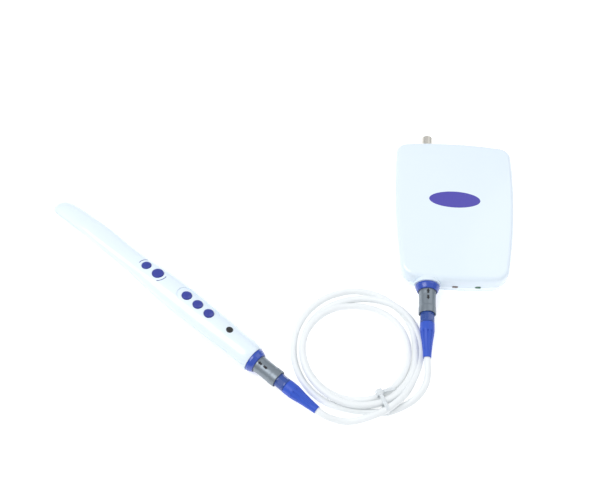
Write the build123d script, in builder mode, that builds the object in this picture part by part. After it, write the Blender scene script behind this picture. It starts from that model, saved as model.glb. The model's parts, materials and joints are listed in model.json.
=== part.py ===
"""Intraoral camera: handpiece, docking box and the coiled lead that joins them.

Row frame, millimetres: +Z up, +X and +Y on the table. The origin lies on the table under
the middle of the handpiece and the docking box. The handpiece lies slantwise in front of
the box, rolled slightly and resting on its belly, as it was put down.
"""

from build123d import *
import math
import os

os.makedirs("parts", exist_ok=True)

# Places of the main groups on the table
HAND_X, HAND_Y, HAND_Z = -11.9, -97.4, 10.27
HAND_AZIMUTH = -36.0
HAND_PITCH = 2.0
HAND_ROLL = 14.0
DOCK_X, DOCK_Y = 129.4, 34.4

# Handpiece casing: stations run from the rear face (0) to the tip
GRIP_LENGTH = 62.0
SHOULDER_LENGTH = 31.0
NECK_LENGTH = 31.0
WAND_LENGTH = 75.3
TIP_ROUNDING = 14.0
REAR_WIDTH, REAR_HEIGHT = 20.4, 20.0
GRIP_WIDTH, GRIP_HEIGHT = 24.9, 23.2
SHOULDER_WIDTH, SHOULDER_HEIGHT = 22.5, 20.0
NECK_WIDTH, NECK_HEIGHT = 17.7, 13.4
WAND_WIDTH, WAND_HEIGHT = 17.7, 11.0
TIP_WIDTH, TIP_HEIGHT = 17.2, 10.3
GRIP_RISE, SHOULDER_RISE, NECK_RISE = 0.35, 1.0, 1.1
WAND_RISE, TIP_RISE = 2.1, -0.6
SHELL_WALL = 1.8
SEAM_RISE = 3.0
SEAM_GAP = 0.3
COVER_GAP = 0.1
COVER_EDGE = 0.25

# Buttons on the handpiece, counted from the tip
FRONT_BUTTON_D, CAPTURE_BUTTON_D, MENU_BUTTON_D = 7.1, 8.6, 7.4
FRONT_BUTTON_AT, CAPTURE_BUTTON_AT = 105.4, 94.0
MENU_MIDDLE_AT, MENU_PITCH = 54.7, 10.7
FRONT_TILT = 6.5
BUTTON_RISE = 1.1
BUTTON_CLEARANCE = 0.2
BUTTON_TRAVEL = 0.45
STEM_GAP = 0.2
FLANGE_DEPTH, FLANGE_THICK, FLANGE_LIP = 2.6, 0.8, 0.9
STEM_D = 3.4
RECESS_WIDTH, RECESS_MARGIN = 13.0, 7.8
RECESS_DEPTH = 0.45
INDICATOR_D, INDICATOR_AT, INDICATOR_THICK = 5.1, 24.3, 2.4

# Inside the handpiece
BOARD_WIDTH, BOARD_THICK = 12.0, 1.2
BOARD_TOP, BOARD_START, BOARD_END = 3.9, 19.5, 113.5
SWITCH_SIZE, SWITCH_HEIGHT, PLUNGER_D, PLUNGER_HEIGHT = 4.4, 1.0, 2.0, 0.45
RIB_THICK, FRONT_RIB_AT, REAR_RIB_AT = 1.6, 88.0, 29.0
LENS_BACK = 12.5
WINDOW_D, WINDOW_THICK = 9.6, 1.1
BARREL_D, BARREL_HEIGHT = 4.6, 4.0
LED_RING_D, LED_BOARD_THICK = 11.2, 0.8
LED_COUNT, LED_CIRCLE_D, LED_SIZE, LED_HEIGHT = 6, 6.3, 1.2, 0.7
SENSOR_SIZE, SENSOR_THICK = 7.4, 1.6
FLEX_WIDTH, FLEX_THICK = 5.0, 0.4

# Connector, the same at both ends of the lead; stations run from the ring's rear face
RING_LENGTH, RING_REAR_D, RING_FRONT_D, RING_BORE_D = 5.0, 17.8, 14.8, 13.5
SOCKET_D, SOCKET_DEPTH, SOCKET_STAND = 15.0, 17.0, 2.0
BARREL_FRONT_D, BARREL_INSERTION, BARREL_REAR_D = 8.8, 12.0, 10.0
RUNNING_CLEARANCE = 0.06
SLEEVE_START, SLEEVE_LENGTH, SLEEVE_D = 3.4, 20.0, 12.8
SLEEVE_WAIST_D, SLEEVE_MOUTH_D, SLEEVE_FIT_LENGTH = 12.3, 11.5, 10.5
SLEEVE_TRAVEL = 1.3
NUT_START, NUT_END, NUT_D, NUT_FLAT_DEPTH = 20.0, 30.8, 10.3, 0.45
NUT_FLAT_LENGTH = 5.0
BOOT_LENGTH, BOOT_COLLAR_LENGTH = 27.4, 6.0
BOOT_FRONT_D, BOOT_END_D = 10.5, 5.9
SPIGOT_D, SPIGOT_LENGTH = 7.0, 4.0
FLUTE_COUNT, FLUTE_D, FLUTE_DEPTH, FLUTE_LENGTH = 10, 1.3, 0.32, 15.0
CABLE_D = 5.0
CABLE_SOCKET_DEPTH, CABLE_SOCKET_CLEARANCE = 3.0, 0.15

# Docking box, in its own axes: x across, y to the rear, z up from the table
DOCK_LENGTH = 126.8
DOCK_FRONT_WIDTH, DOCK_WIDEST, DOCK_REAR_WIDTH = 78.6, 92.4, 90.0
DOCK_WIDEST_AT = 22.0
DOCK_FRONT_CROWN, DOCK_REAR_CROWN = 3.4, 2.4
DOCK_FRONT_CORNER, DOCK_REAR_CORNER = 13.0, 10.0
DOCK_HEIGHT, DOCK_SEAM, DOCK_FLOOR = 22.3, 10.5, 1.2
DOCK_WALL = 2.0
TOP_CROWN_RADIUS = 850.0
TOP_DRAFT, BOTTOM_DRAFT = 4.0, 12.0
TOP_EDGE_RADIUS, BOTTOM_EDGE_RADIUS = 4.0, 1.2
PORT_X, PORT_STAND = -19.3, 0.8
BLISTER_D, BLISTER_END_D, BLISTER_LENGTH = 20.4, 13.0, 17.0
BADGE_LENGTH, BADGE_WIDTH, BADGE_THICK, BADGE_SUNK = 38.8, 14.8, 1.2, 0.8
BADGE_X, BADGE_Y = 0.0, 6.5
LED_PIPE_WIDTH, LED_PIPE_HEIGHT, LED_PIPE_STAND = 4.4, 2.2, 0.5
STATUS_LED_X, POWER_LED_X = 0.9, 17.6
LED_PIPE_LENGTH = 8.0
DOCK_BOARD_WIDTH, DOCK_BOARD_LENGTH, DOCK_BOARD_THICK = 70.0, 104.0, 1.6
DOCK_BOARD_TOP = 6.0
DOCK_BOARD_NOTCH_WIDTH, DOCK_BOARD_NOTCH_DEPTH = 24.0, 14.0
BOSS_D, BOSS_SPACING_X, BOSS_SPACING_Y = 7.0, 58.0, 86.0
SCREW_D, SCREW_HEAD_D, SCREW_HEAD_HEIGHT = 3.0, 5.6, 1.6
FOOT_D, FOOT_SUNK, FOOT_SPACING_X, FOOT_SPACING_Y = 9.0, 0.6, 56.0, 106.0
PROCESSOR_SIZE, PROCESSOR_THICK = 16.0, 2.2
CAPACITOR_D, CAPACITOR_HEIGHT, CAPACITOR_PITCH = 6.3, 8.0, 9.0
RCA_D, RCA_LENGTH, RCA_FLANGE_D, RCA_X = 8.3, 8.5, 11.5, -20.0
DC_BODY_WIDTH, DC_MOUTH_D, DC_PIN_D, DC_X = 9.0, 5.6, 2.1, 22.0
USB_WIDTH, USB_DEPTH, USB_X = 12.0, 14.0, 2.0
JACK_CLEARANCE = 0.1

# Coiled lead
COIL_X, COIL_Y, COIL_RADIUS = 61.4, -80.8, 49.5
COIL_BULGE_X, COIL_BULGE_Y, COIL_BULGE_RADIUS = 70.0, -92.0, 40.0
COIL_HOLE_X, COIL_HOLE_Y, COIL_HOLE_RADIUS = 59.7, -83.5, 34.6
COIL_BOTTOM, COIL_HEIGHT, COIL_EDGE = 0.2, 5.6, 2.4
TIE_ANGLE, TIE_WIDTH, TIE_THICK, TIE_PROUD = -64.8, 2.5, 1.0, 0.12
TIE_HEAD, TIE_HEAD_HEIGHT, TIE_TAIL = 5.0, 3.8, 9.0


# Places and profiles

def inclined(origin, azimuth, pitch, roll):
    """Plane whose x runs along the handpiece to its plug, pitched down and rolled."""
    a, p, r = (math.radians(v) for v in (azimuth, pitch, roll))
    ahead = Vector(math.cos(a) * math.cos(p), math.sin(a) * math.cos(p), -math.sin(p))
    side = Vector(-math.sin(a), math.cos(a), 0)
    up = ahead.cross(side)
    up = up * math.cos(r) + side * math.sin(r)
    return Plane(origin=origin, x_dir=ahead, z_dir=up)


def point(base, x, y=0.0, z=0.0):
    """Point given in a base plane's own axes."""
    return base.from_local_coords(Vector(x, y, z))


def across(base, x, y=0.0, z=0.0):
    """Plane square to the base's x, with sketch x along the base's y."""
    return Plane(origin=point(base, x, y, z), x_dir=base.y_dir, z_dir=base.x_dir)


def level(base, x, y=0.0, z=0.0):
    """Plane parallel to the base, moved to a point in the base's axes."""
    return Plane(origin=point(base, x, y, z), x_dir=base.x_dir, z_dir=base.z_dir)


def beside(base):
    """Plane through the base's x and z axes, for profiles turned about x."""
    return Plane(origin=base.origin, x_dir=base.x_dir, z_dir=-base.y_dir)


HAND = inclined((HAND_X, HAND_Y, HAND_Z), HAND_AZIMUTH, HAND_PITCH, HAND_ROLL)
DOCK_FRONT = DOCK_Y - DOCK_LENGTH / 2
DOCK_REAR = DOCK_Y + DOCK_LENGTH / 2
PORT = Plane(
    origin=(DOCK_X + PORT_X, DOCK_FRONT - PORT_STAND, DOCK_SEAM),
    x_dir=(0, -1, 0),
    z_dir=(0, 0, 1),
)

S_GRIP = GRIP_LENGTH
S_SHOULDER = S_GRIP + SHOULDER_LENGTH
S_NECK = S_SHOULDER + NECK_LENGTH
S_TIP = S_NECK + WAND_LENGTH
S_WAND = S_NECK + 0.38 * WAND_LENGTH
S_ROUND = S_TIP - TIP_ROUNDING
REAR_EDGE = 1.2

WIDTHS = [
    (0.0, REAR_WIDTH - 1.2), (REAR_EDGE, REAR_WIDTH), (0.4 * GRIP_LENGTH, 0.42 * REAR_WIDTH + 0.58 * GRIP_WIDTH),
    (S_GRIP, GRIP_WIDTH), (S_GRIP + SHOULDER_LENGTH / 2, 0.78 * GRIP_WIDTH + 0.22 * SHOULDER_WIDTH),
    (S_SHOULDER, SHOULDER_WIDTH), (S_NECK, NECK_WIDTH), (S_WAND, WAND_WIDTH), (S_ROUND, TIP_WIDTH),
    (S_TIP - 0.64 * TIP_ROUNDING, 0.965 * TIP_WIDTH), (S_TIP - 0.32 * TIP_ROUNDING, 0.85 * TIP_WIDTH),
    (S_TIP - 0.12 * TIP_ROUNDING, 0.65 * TIP_WIDTH), (S_TIP, 0.36 * TIP_WIDTH),
]
HEIGHTS = [
    (0.0, REAR_HEIGHT - 1.2), (REAR_EDGE, REAR_HEIGHT), (0.4 * GRIP_LENGTH, 0.3 * REAR_HEIGHT + 0.7 * GRIP_HEIGHT),
    (S_GRIP, GRIP_HEIGHT), (S_GRIP + SHOULDER_LENGTH / 2, 0.78 * GRIP_HEIGHT + 0.22 * SHOULDER_HEIGHT),
    (S_SHOULDER, SHOULDER_HEIGHT), (S_NECK, NECK_HEIGHT), (S_WAND, WAND_HEIGHT), (S_ROUND, TIP_HEIGHT),
    (S_TIP - 0.64 * TIP_ROUNDING, 0.95 * TIP_HEIGHT), (S_TIP - 0.32 * TIP_ROUNDING, 0.80 * TIP_HEIGHT),
    (S_TIP - 0.12 * TIP_ROUNDING, 0.60 * TIP_HEIGHT), (S_TIP, 0.33 * TIP_HEIGHT),
]
RISES = [
    (0.0, 0.0), (0.4 * GRIP_LENGTH, 0.0), (S_GRIP, GRIP_RISE),
    (S_SHOULDER, SHOULDER_RISE), (S_NECK, NECK_RISE), (S_WAND, WAND_RISE),
    (S_ROUND, TIP_RISE), (S_TIP, TIP_RISE - 0.11 * TIP_ROUNDING),
]
SEAM = [
    (-1.0, SEAM_RISE - 0.7), (0.4 * GRIP_LENGTH, SEAM_RISE + 0.1), (S_SHOULDER, SEAM_RISE),
    (S_WAND, SEAM_RISE + 0.2), (S_ROUND, TIP_RISE + 2.4), (S_TIP + 1.0, TIP_RISE - 0.8),
]


def along(stations, s):
    """Value at station s on a smooth curve through the stations, with no overshoot."""
    xs = [p[0] for p in stations]
    ys = [p[1] for p in stations]
    if s <= xs[0]:
        return ys[0]
    if s >= xs[-1]:
        return ys[-1]
    rates = [(ys[i + 1] - ys[i]) / (xs[i + 1] - xs[i]) for i in range(len(xs) - 1)]
    slopes = [rates[0]]
    for a, b in zip(rates, rates[1:]):
        slopes.append(2 * a * b / (a + b) if a * b > 0 else 0.0)
    slopes.append(rates[-1])
    i = max(k for k in range(len(xs) - 1) if xs[k] <= s)
    h = xs[i + 1] - xs[i]
    t = (s - xs[i]) / h
    return (
        ys[i] * (1 + 2 * t) * (1 - t) ** 2
        + h * slopes[i] * t * (1 - t) ** 2
        + ys[i + 1] * t * t * (3 - 2 * t)
        - h * slopes[i + 1] * t * t * (1 - t)
    )


def top_of_hand(s):
    """Height of the casing's top line above the handpiece axis at station s."""
    return along(RISES, s) + along(HEIGHTS, s) / 2


def squareness(s):
    """Exponent of the casing's section: round at the rear, flat-topped on the wand."""
    return along([(0, 2.0), (S_GRIP, 2.15), (S_NECK, 2.6), (S_WAND, 2.9), (S_TIP, 2.3)], s)


def hand_solid(inset, start, end):
    """Solid of the handpiece casing, its surface moved in by inset, between two stations."""
    places = [p[0] for p in WIDTHS] + [0.2 * S_GRIP, 0.7 * S_GRIP, (S_SHOULDER + S_NECK) / 2]
    places += [S_NECK + 0.19 * WAND_LENGTH, (S_WAND + S_ROUND) / 2]
    marks = [k / 16 for k in range(17)]
    stops = sorted({start, end} | {s for s in places if start + 0.9 < s < end - 0.5})
    with BuildPart() as body:
        for s in stops:
            half_w = along(WIDTHS, s) / 2 - inset
            half_h = along(HEIGHTS, s) / 2 - inset
            rise = along(RISES, s)
            n = 2 / squareness(s)
            with BuildSketch(across(HAND, -s)):
                with BuildLine():
                    outline = []
                    for k in range(16):
                        c, d = math.cos(math.tau * (k - 4) / 16), math.sin(math.tau * (k - 4) / 16)
                        outline.append(Vector(
                            half_w * math.copysign(abs(c) ** n, c),
                            rise + half_h * math.copysign(abs(d) ** n, d),
                        ))
                    add(Edge.make_spline(outline, periodic=True, parameters=marks))
                make_face()
        loft()
    return body.part


def seam_region(shift, side):
    """Everything above (side 1) or below (side -1) the shells' seam, raised by shift."""
    far = side * 2 * GRIP_HEIGHT
    with BuildPart() as region:
        with BuildSketch(beside(HAND)):
            with BuildLine():
                line = [(-s, z + shift) for s, z in SEAM]
                Spline(*line)
                Polyline(line[-1], (line[-1][0], far), (line[0][0], far), line[0])
            make_face()
        extrude(amount=GRIP_WIDTH, both=True)
    return region.part


def below_seam(shift):
    """Everything below the seam, raised by shift."""
    return seam_region(shift, -1)


def above_seam(shift):
    """Everything above the seam, raised by shift."""
    return seam_region(shift, 1)


def turned(base, profile):
    """Solid turned about the base's x axis from a profile of (station, radius)."""
    with BuildPart() as body:
        with BuildSketch(beside(base)):
            with BuildLine():
                Polyline(*profile, close=True)
            make_face()
        revolve(axis=Axis(base.origin, base.x_dir))
    return body.part


# Handpiece shells

MENU_AT = [MENU_MIDDLE_AT + MENU_PITCH, MENU_MIDDLE_AT, MENU_MIDDLE_AT - MENU_PITCH]
BUTTONS = [
    ("front_button", FRONT_BUTTON_AT, FRONT_BUTTON_D, FRONT_TILT, 0.0),
    ("capture_button", CAPTURE_BUTTON_AT, CAPTURE_BUTTON_D, FRONT_TILT, 0.0),
    ("menu_button_1", MENU_AT[0], MENU_BUTTON_D, 0.0, RECESS_DEPTH),
    ("menu_button_2", MENU_AT[1], MENU_BUTTON_D, 0.0, RECESS_DEPTH),
    ("menu_button_3", MENU_AT[2], MENU_BUTTON_D, 0.0, RECESS_DEPTH),
]


def button_plane(at, tilt, sunk):
    """Plane on the casing's top line at a button, tipped towards the tip by tilt."""
    a = math.radians(tilt)
    up = HAND.z_dir * math.cos(a) - HAND.x_dir * math.sin(a)
    ahead = HAND.x_dir * math.cos(a) + HAND.z_dir * math.sin(a)
    return Plane(origin=point(HAND, -at, 0, top_of_hand(at) - sunk), x_dir=ahead, z_dir=up)


LENS_AT = S_TIP - LENS_BACK
LENS_BOTTOM = along(RISES, LENS_AT) - along(HEIGHTS, LENS_AT) / 2
outer = hand_solid(0.0, 0.0, S_TIP)
core = hand_solid(RECESS_DEPTH, RECESS_DEPTH, S_TIP - RECESS_DEPTH)
cavity = hand_solid(SHELL_WALL, 1.6 * SHELL_WALL, S_TIP - 2.4 * SHELL_WALL)
rib_core = hand_solid(SHELL_WALL - 0.3, REAR_RIB_AT - 8, FRONT_RIB_AT + 8)

with BuildPart() as handpiece_top_shell:
    add(outer)
    add(below_seam(SEAM_GAP / 2), mode=Mode.SUBTRACT)
    add(cavity, mode=Mode.SUBTRACT)
    for _, at, d, tilt, sunk in BUTTONS:
        seat = button_plane(at, tilt, sunk)
        with BuildSketch(seat.offset(BUTTON_RISE)):
            Circle(d / 2 + BUTTON_CLEARANCE)
        extrude(amount=-(BUTTON_RISE + FLANGE_DEPTH + 1), mode=Mode.SUBTRACT)
        with BuildSketch(seat.offset(-FLANGE_DEPTH)):
            Circle(d / 2 + FLANGE_LIP + 2 * BUTTON_CLEARANCE)
        extrude(amount=-2.5 * FLANGE_THICK, mode=Mode.SUBTRACT)
    with BuildSketch(level(HAND, -INDICATOR_AT, 0, top_of_hand(INDICATOR_AT) + 1)):
        Circle(INDICATOR_D / 2)
    extrude(amount=-SHELL_WALL - 2, mode=Mode.SUBTRACT)
    with BuildSketch(across(HAND, 0)):
        Circle(SOCKET_D / 2)
    extrude(amount=-SOCKET_DEPTH, mode=Mode.SUBTRACT)
    with BuildPart(mode=Mode.PRIVATE) as recess:
        with BuildSketch(level(HAND, -MENU_MIDDLE_AT, 0, 0)):
            SlotOverall(2 * (MENU_PITCH + RECESS_MARGIN), RECESS_WIDTH)
        extrude(amount=GRIP_HEIGHT)
        add(core, mode=Mode.SUBTRACT)
    add(recess.part, mode=Mode.SUBTRACT)
handpiece_top_shell.part.label = "handpiece_top_shell"
export_step(handpiece_top_shell.part, "parts/handpiece_top_shell.step")

with BuildPart() as handpiece_bottom_shell:
    add(outer)
    add(above_seam(-SEAM_GAP / 2), mode=Mode.SUBTRACT)
    add(cavity, mode=Mode.SUBTRACT)
    for at in (FRONT_RIB_AT, REAR_RIB_AT):
        with BuildPart(mode=Mode.PRIVATE) as rib:
            with BuildSketch(across(HAND, -at, 0, BOARD_TOP - BOARD_THICK)):
                Rectangle(2 * GRIP_WIDTH, 2 * GRIP_HEIGHT, align=(Align.CENTER, Align.MAX))
            extrude(amount=RIB_THICK)
            add(rib_core, mode=Mode.INTERSECT)
        add(rib.part)
    with BuildSketch(level(HAND, -LENS_AT, 0, LENS_BOTTOM - 1)):
        Circle(WINDOW_D / 2)
    extrude(amount=1 + 0.2 + WINDOW_THICK, mode=Mode.SUBTRACT)
    with BuildSketch(level(HAND, -LENS_AT, 0, LENS_BOTTOM)):
        Circle(WINDOW_D / 2 - 0.6)
    extrude(amount=SHELL_WALL + 1, mode=Mode.SUBTRACT)
    with BuildSketch(across(HAND, 0)):
        Circle(SOCKET_D / 2)
    extrude(amount=-SOCKET_DEPTH, mode=Mode.SUBTRACT)
handpiece_bottom_shell.part.label = "handpiece_bottom_shell"
export_step(handpiece_bottom_shell.part, "parts/handpiece_bottom_shell.step")


# Buttons and what they press

SWITCH_TOP = BOARD_TOP + SWITCH_HEIGHT + PLUNGER_HEIGHT


def make_button(name, at, d, tilt, sunk):
    """Domed cap with a retaining flange under the shell and a stem over its switch."""
    seat = button_plane(at, tilt, sunk)
    reach = (seat.origin - point(HAND, -at, 0, SWITCH_TOP)).dot(HAND.z_dir)
    foot = -(reach / math.cos(math.radians(tilt)) - BUTTON_TRAVEL - STEM_GAP)
    under = -FLANGE_DEPTH - 0.1
    r = d / 2
    with BuildPart() as button:
        with BuildSketch(Plane(origin=seat.origin, x_dir=seat.x_dir, z_dir=-seat.y_dir)):
            with BuildLine():
                ThreePointArc((0, BUTTON_RISE), (0.55 * r, 0.88 * BUTTON_RISE), (r - 0.35, 0.5 * BUTTON_RISE))
                Polyline(
                    (r - 0.35, 0.5 * BUTTON_RISE), (r, 0.1 * BUTTON_RISE), (r, under), (r + FLANGE_LIP, under),
                    (r + FLANGE_LIP, under - FLANGE_THICK), (STEM_D / 2, under - FLANGE_THICK),
                    (STEM_D / 2, foot), (0, foot), (0, BUTTON_RISE),
                )
            make_face()
        revolve(axis=Axis(seat.origin, seat.z_dir))
    button.part.label = name
    export_step(button.part, f"parts/{name}.step")


for spec in BUTTONS:
    make_button(*spec)

with BuildPart() as indicator_window:
    with BuildSketch(level(HAND, -INDICATOR_AT, 0, top_of_hand(INDICATOR_AT) + 0.25)):
        Circle(INDICATOR_D / 2)
    extrude(amount=-INDICATOR_THICK)
    rim = indicator_window.edges().filter_by(GeomType.CIRCLE).sort_by(Axis(HAND.origin, HAND.z_dir))[-1]
    fillet(rim, 0.4)
indicator_window.part.label = "indicator_window"
export_step(indicator_window.part, "parts/indicator_window.step")

with BuildPart() as handpiece_main_board:
    with BuildSketch(level(HAND, -(BOARD_START + BOARD_END) / 2, 0, BOARD_TOP - BOARD_THICK)):
        RectangleRounded(BOARD_END - BOARD_START, BOARD_WIDTH, 1.5)
    extrude(amount=BOARD_THICK)
handpiece_main_board.part.label = "handpiece_main_board"
export_step(handpiece_main_board.part, "parts/handpiece_main_board.step")

with BuildPart() as tactile_switches:
    for _, at, _, tilt, _ in BUTTONS:
        with BuildSketch(level(HAND, -at, 0, BOARD_TOP)):
            Rectangle(SWITCH_SIZE, SWITCH_SIZE)
        extrude(amount=SWITCH_HEIGHT)
        with BuildSketch(level(HAND, -at, 0, BOARD_TOP + SWITCH_HEIGHT)):
            Circle(PLUNGER_D / 2)
        extrude(amount=PLUNGER_HEIGHT)
tactile_switches.part.label = "tactile_switches"
export_step(tactile_switches.part, "parts/tactile_switches.step")


# Optics at the tip, looking down out of the bottom shell

WINDOW_LOW = LENS_BOTTOM + 0.2
LED_BOARD_LOW = WINDOW_LOW + WINDOW_THICK + LED_HEIGHT + 0.1
SENSOR_LOW = WINDOW_LOW + WINDOW_THICK + 0.1 + BARREL_HEIGHT

with BuildPart() as lens_window:
    with BuildSketch(level(HAND, -LENS_AT, 0, WINDOW_LOW)):
        Circle(WINDOW_D / 2)
    extrude(amount=WINDOW_THICK)
lens_window.part.label = "lens_window"
export_step(lens_window.part, "parts/lens_window.step")

with BuildPart() as tip_led_board:
    with BuildSketch(level(HAND, -LENS_AT, 0, LED_BOARD_LOW)):
        Circle(LED_RING_D / 2)
        Circle(BARREL_D / 2, mode=Mode.SUBTRACT)
    extrude(amount=LED_BOARD_THICK)
tip_led_board.part.label = "tip_led_board"
export_step(tip_led_board.part, "parts/tip_led_board.step")

with BuildPart() as tip_leds:
    with BuildSketch(level(HAND, -LENS_AT, 0, LED_BOARD_LOW)):
        with PolarLocations(LED_CIRCLE_D / 2, LED_COUNT):
            Rectangle(LED_SIZE, LED_SIZE)
    extrude(amount=-LED_HEIGHT)
tip_leds.part.label = "tip_leds"
export_step(tip_leds.part, "parts/tip_leds.step")

with BuildPart() as lens_barrel:
    with BuildSketch(level(HAND, -LENS_AT, 0, SENSOR_LOW)):
        Circle(BARREL_D / 2)
    extrude(amount=-BARREL_HEIGHT)
    with BuildSketch(level(HAND, -LENS_AT, 0, SENSOR_LOW - BARREL_HEIGHT)):
        Circle(BARREL_D / 2 - 1.1)
    extrude(amount=0.7, mode=Mode.SUBTRACT)
lens_barrel.part.label = "lens_barrel"
export_step(lens_barrel.part, "parts/lens_barrel.step")

with BuildPart() as image_sensor:
    with BuildSketch(level(HAND, -LENS_AT, 0, SENSOR_LOW)):
        Rectangle(SENSOR_SIZE, SENSOR_SIZE)
    extrude(amount=SENSOR_THICK / 2)
    with BuildSketch(level(HAND, -LENS_AT, 0, SENSOR_LOW + SENSOR_THICK / 2)):
        Rectangle(0.7 * SENSOR_SIZE, 0.7 * SENSOR_SIZE)
    extrude(amount=SENSOR_THICK / 2)
image_sensor.part.label = "image_sensor"
export_step(image_sensor.part, "parts/image_sensor.step")

FLEX_LOW = SENSOR_LOW + SENSOR_THICK
with BuildPart() as sensor_flex:
    with BuildSketch(beside(HAND)):
        with BuildLine():
            route = [
                (-LENS_AT - 2, FLEX_LOW), (-LENS_AT + 4, FLEX_LOW), (-S_WAND, along(RISES, S_WAND)),
                (-BOARD_END - 4, BOARD_TOP), (-BOARD_END + 5, BOARD_TOP),
            ]
            upper = [(x, z + FLEX_THICK) for x, z in route]
            Spline(*route, tangents=[(1, 0), (1, 0)])
            Spline(*upper, tangents=[(1, 0), (1, 0)])
            Line(route[0], upper[0])
            Line(route[-1], upper[-1])
        make_face()
    extrude(amount=FLEX_WIDTH / 2, both=True)
sensor_flex.part.label = "sensor_flex"
export_step(sensor_flex.part, "parts/sensor_flex.step")


# Connector pieces, made once for each end of the lead

def make_connector(end, base):
    """Ring, socket, plug body, release sleeve, collet nut and bend relief at one end."""
    axis = Axis(base.origin, base.x_dir)
    rear, front, bore, seat = RING_REAR_D / 2, RING_FRONT_D / 2, RING_BORE_D / 2, SOCKET_D / 2
    with BuildPart() as ring:
        with BuildSketch(beside(base)):
            with BuildLine():
                Polyline(
                    (0, seat), (0, rear - 0.35), (0.5, rear), (1.7, rear), (RING_LENGTH - 0.5, front + 0.3),
                    (RING_LENGTH, front - 0.2), (RING_LENGTH, bore), (SOCKET_STAND, bore), (SOCKET_STAND, seat),
                    close=True,
                )
            make_face()
        revolve(axis=axis)
    ring.part.label = f"{end}_ring"
    export_step(ring.part, f"parts/{end}_ring.step")

    hole = BARREL_FRONT_D / 2 + RUNNING_CLEARANCE
    socket = turned(base, [
        (-SOCKET_DEPTH, 0), (-SOCKET_DEPTH, seat - 1), (-SOCKET_DEPTH + 1, seat), (SOCKET_STAND, seat),
        (SOCKET_STAND, hole), (-BARREL_INSERTION - 0.5, hole), (-BARREL_INSERTION - 0.5, 0),
    ])
    socket.label = f"{end}_socket"
    export_step(socket, f"parts/{end}_socket.step")

    thin, wide, thread = BARREL_FRONT_D / 2, BARREL_REAR_D / 2, SPIGOT_D / 2
    boot_front = NUT_END - SPIGOT_LENGTH
    body = turned(base, [
        (-BARREL_INSERTION, 0), (-BARREL_INSERTION, thin - 0.6), (-BARREL_INSERTION + 0.6, thin),
        (SLEEVE_START - 0.4, thin), (SLEEVE_START - 0.4, wide), (NUT_START, wide),
        (NUT_START, thread), (boot_front, thread), (boot_front, 0),
    ])
    body.label = f"{end}_plug_body"
    export_step(body, f"parts/{end}_plug_body.step")

    start, stop, full = SLEEVE_START, SLEEVE_START + SLEEVE_LENGTH, SLEEVE_D / 2
    waist, mouth, fit = SLEEVE_WAIST_D / 2, SLEEVE_MOUTH_D / 2, BARREL_REAR_D / 2 + RUNNING_CLEARANCE
    sleeve = turned(base, [
        (start, fit), (start, full - 0.4), (start + 0.4, full), (start + 3.0, full), (start + 5.5, waist),
        (stop - 6.0, waist), (stop - 5.0, full), (stop - 0.4, full), (stop, full - 0.2), (stop, mouth),
        (start + SLEEVE_FIT_LENGTH, mouth), (start + SLEEVE_FIT_LENGTH, fit),
    ])
    sleeve.label = f"{end}_release_sleeve"
    export_step(sleeve, f"parts/{end}_release_sleeve.step")

    with BuildPart() as nut:
        with BuildSketch(beside(base)):
            with BuildLine():
                Polyline(
                    (NUT_START, thread), (NUT_START, NUT_D / 2 - 0.3), (NUT_START + 0.3, NUT_D / 2),
                    (NUT_END - 0.3, NUT_D / 2), (NUT_END, NUT_D / 2 - 0.3), (NUT_END, thread), close=True,
                )
            make_face()
        revolve(axis=axis)
        flat = NUT_D / 2 - NUT_FLAT_DEPTH
        for turn in range(4):
            a = math.radians(90 * turn + 45)
            out = base.z_dir * math.cos(a) + base.y_dir * math.sin(a)
            middle = point(base, NUT_END - 1.2 - NUT_FLAT_LENGTH / 2) + out * flat
            with BuildSketch(Plane(origin=middle, x_dir=base.x_dir, z_dir=out)):
                Rectangle(NUT_FLAT_LENGTH, NUT_D)
            extrude(amount=NUT_D, mode=Mode.SUBTRACT)
    nut.part.label = f"{end}_collet_nut"
    export_step(nut.part, f"parts/{end}_collet_nut.step")

    big, small = BOOT_FRONT_D / 2, BOOT_END_D / 2
    taper_from, boot_end = NUT_END + BOOT_COLLAR_LENGTH, NUT_END + BOOT_LENGTH
    cable_hole = CABLE_D / 2 + CABLE_SOCKET_CLEARANCE
    with BuildPart() as boot:
        with BuildSketch(beside(base)):
            with BuildLine():
                Polyline(
                    (boot_front, 0), (boot_front, thread), (NUT_END, thread), (NUT_END, big - 0.5),
                    (NUT_END + 0.5, big), (taper_from, big),
                )
                shape = Spline(
                    (taper_from, big), (taper_from + 0.35 * (boot_end - taper_from), 0.55 * big + 0.45 * small),
                    (boot_end, small), tangents=[(1, -0.1), (1, -0.05)],
                )
                Polyline(
                    (boot_end, small), (boot_end, cable_hole), (boot_end - CABLE_SOCKET_DEPTH, cable_hole),
                    (boot_end - CABLE_SOCKET_DEPTH, 0), (boot_front, 0),
                )
            make_face()
        revolve(axis=axis)
        for k in range(FLUTE_COUNT):
            a = math.tau * k / FLUTE_COUNT
            out = base.z_dir * math.cos(a) + base.y_dir * math.sin(a)
            begin = point(base, taper_from + 1.0) + out * (big + FLUTE_D / 2 - FLUTE_DEPTH - 0.4)
            finish = point(base, taper_from + 1.0 + FLUTE_LENGTH) + out * (small + FLUTE_D / 2 - FLUTE_DEPTH + 0.35)
            groove = finish - begin
            with BuildSketch(Plane(origin=begin, z_dir=groove)):
                Circle(FLUTE_D / 2)
            extrude(amount=groove.length, mode=Mode.SUBTRACT)
    boot.part.label = f"{end}_bend_relief"
    export_step(boot.part, f"parts/{end}_bend_relief.step")


make_connector("handpiece", HAND)
make_connector("dock", PORT)


# Docking box covers

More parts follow.
